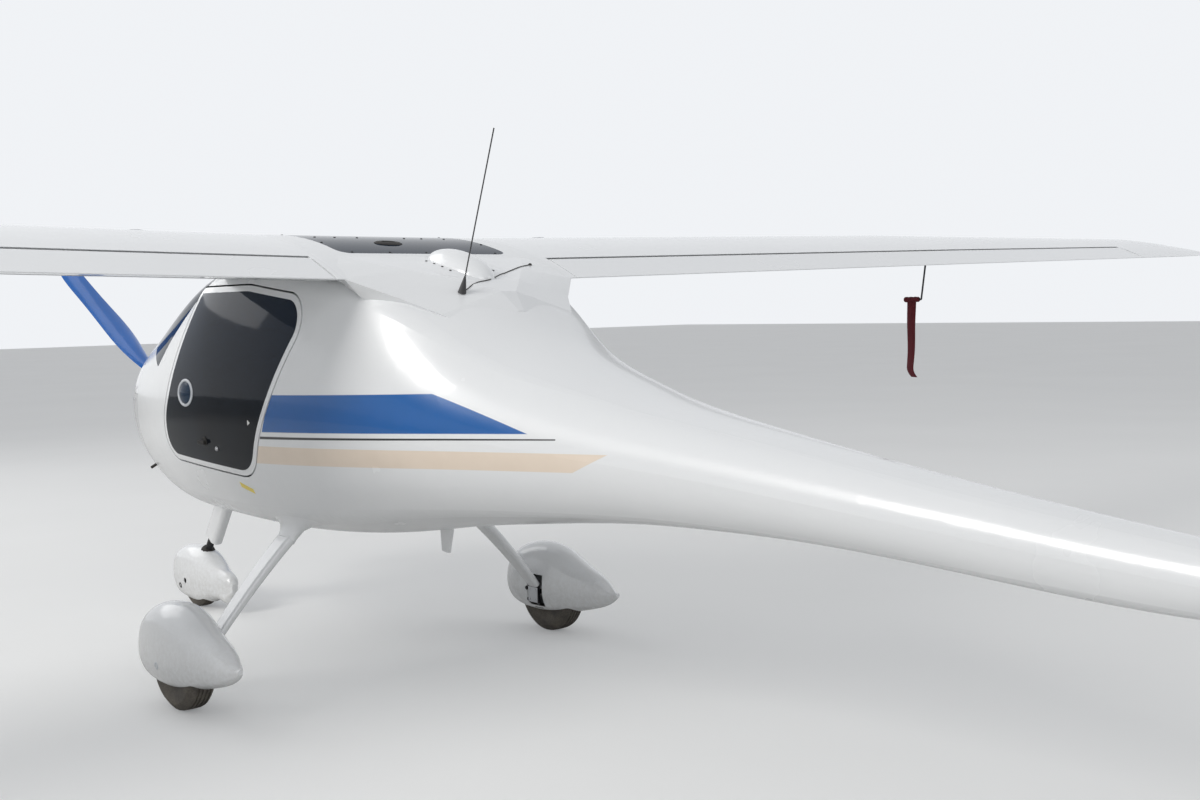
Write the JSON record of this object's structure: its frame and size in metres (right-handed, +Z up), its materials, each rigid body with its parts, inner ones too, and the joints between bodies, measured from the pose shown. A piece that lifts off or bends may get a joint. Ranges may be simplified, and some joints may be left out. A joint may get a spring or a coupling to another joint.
{
  "type": "high-wing ultralight aircraft",
  "caption": "High-wing ultralight aircraft on its tricycle gear, with top-hinged doors, flaperons, a T-tail and a tractor propeller.",
  "frame": {"origin": "on the ground at the middle of the aircraft's box, halfway along its length and span", "axes": "+X towards the left wing tip, -Y towards the nose, +Z up"},
  "size_m": [11, 6.5, 1.8758],
  "materials": {
    "bare_alloy": "satin",
    "blue_paint": "gloss blue",
    "cast_alloy": "satin",
    "dark_plastic": "matt",
    "engine_metal": "rough",
    "firewall_steel": "brushed",
    "gear_steel": "black paint",
    "red_cloth": "woven",
    "seat_fabric": "woven",
    "tinted_glazing": "dark tinted polycarbonate",
    "tyre_rubber": "matt",
    "white_gelcoat": "glossy white gelcoat"
  },
  "bodies": {
    "airframe": {"belly_antenna": "white_gelcoat", "centre_console": "dark_plastic", "engine_block": "engine_metal", "exhaust_pipe": "dark_plastic", "fin": "white_gelcoat", "firewall": "firewall_steel", "fuselage_shell": "white_gelcoat", "instrument_panel": "dark_plastic", "left_axle": "gear_steel", "left_gear_leg": "white_gelcoat", "left_seat": "seat_fabric", "left_spat": "white_gelcoat", "left_wing": "white_gelcoat", "lower_cowl": "white_gelcoat", "nose_leg": "white_gelcoat", "pitot_cover": "red_cloth", "pitot_mast": "bare_alloy", "rear_bulkhead": "dark_plastic", "right_axle": "gear_steel", "right_gear_leg": "white_gelcoat", "right_seat": "seat_fabric", "right_spat": "white_gelcoat", "right_wing": "white_gelcoat", "roof_dome": "white_gelcoat", "roof_window": "tinted_glazing", "stabiliser": "white_gelcoat", "upper_cowl": "white_gelcoat", "ventral_fin": "white_gelcoat", "whip_antenna": "dark_plastic", "windshield": "tinted_glazing"},
    "propeller": {"propeller": "blue_paint", "spinner": "white_gelcoat"},
    "left_door": {"left_door_frame": "white_gelcoat", "left_door_pane": "tinted_glazing"},
    "right_door": {"right_door_frame": "white_gelcoat", "right_door_pane": "tinted_glazing"},
    "left_flaperon": {"left_flaperon": "white_gelcoat"},
    "right_flaperon": {"right_flaperon": "white_gelcoat"},
    "rudder": {"rudder": "white_gelcoat"},
    "elevator": {"elevator": "white_gelcoat"},
    "nose_fork": {"nose_fork": "gear_steel", "nose_axle": "gear_steel", "nose_spat": "white_gelcoat"},
    "nose_wheel": {"nose_rim": "cast_alloy", "nose_tyre": "tyre_rubber"},
    "left_wheel": {"left_rim": "cast_alloy", "left_tyre": "tyre_rubber"},
    "right_wheel": {"right_rim": "cast_alloy", "right_tyre": "tyre_rubber"}
  },
  "joints": [
    {"name": "propeller_spin", "type": "hinge", "parent": "airframe", "child": "propeller", "pos_m": [0, -3.11, 0.946], "axis": [0, 1, 0], "continuous": true},
    {"name": "nose_steer", "type": "hinge", "parent": "airframe", "child": "nose_fork", "pos_m": [0, -2.915, 0.125], "axis": [0, 0.5878, 0.809], "range_deg": [-25, 25]},
    {"name": "nose_wheel_spin", "type": "hinge", "parent": "nose_fork", "child": "nose_wheel", "pos_m": [0, -2.9, 0.125], "axis": [1, 0, 0], "continuous": true},
    {"name": "left_wheel_spin", "type": "hinge", "parent": "airframe", "child": "left_wheel", "pos_m": [0.8, -1.36, 0.165], "axis": [1, 0, 0], "continuous": true},
    {"name": "right_wheel_spin", "type": "hinge", "parent": "airframe", "child": "right_wheel", "pos_m": [-0.8, -1.36, 0.165], "axis": [1, 0, 0], "continuous": true},
    {"name": "left_door_hinge", "type": "hinge", "parent": "airframe", "child": "left_door", "pos_m": [0.478, -1.46, 1.422], "axis": [0, -1, 0], "range_deg": [0, 70]},
    {"name": "right_door_hinge", "type": "hinge", "parent": "airframe", "child": "right_door", "pos_m": [-0.478, -1.46, 1.422], "axis": [0, 1, 0], "range_deg": [0, 70]},
    {"name": "left_flaperon_hinge", "type": "hinge", "parent": "airframe", "child": "left_flaperon", "pos_m": [0.5, -0.96787, 1.4597], "axis": [-0.9997, 0.0075, -0.0222], "range_deg": [-20, 25]},
    {"name": "right_flaperon_hinge", "type": "hinge", "parent": "airframe", "child": "right_flaperon", "pos_m": [-0.5, -0.96787, 1.4597], "axis": [-0.9997, -0.0075, 0.0222], "range_deg": [-20, 25]},
    {"name": "rudder_hinge", "type": "hinge", "parent": "airframe", "child": "rudder", "pos_m": [0, 2.91, 1.1], "axis": [0, 0, 1], "range_deg": [-28, 28]},
    {"name": "elevator_hinge", "type": "hinge", "parent": "airframe", "child": "elevator", "pos_m": [0, 2.9584, 1.8], "axis": [1, 0, 0], "range_deg": [-20, 20]}
  ]
}
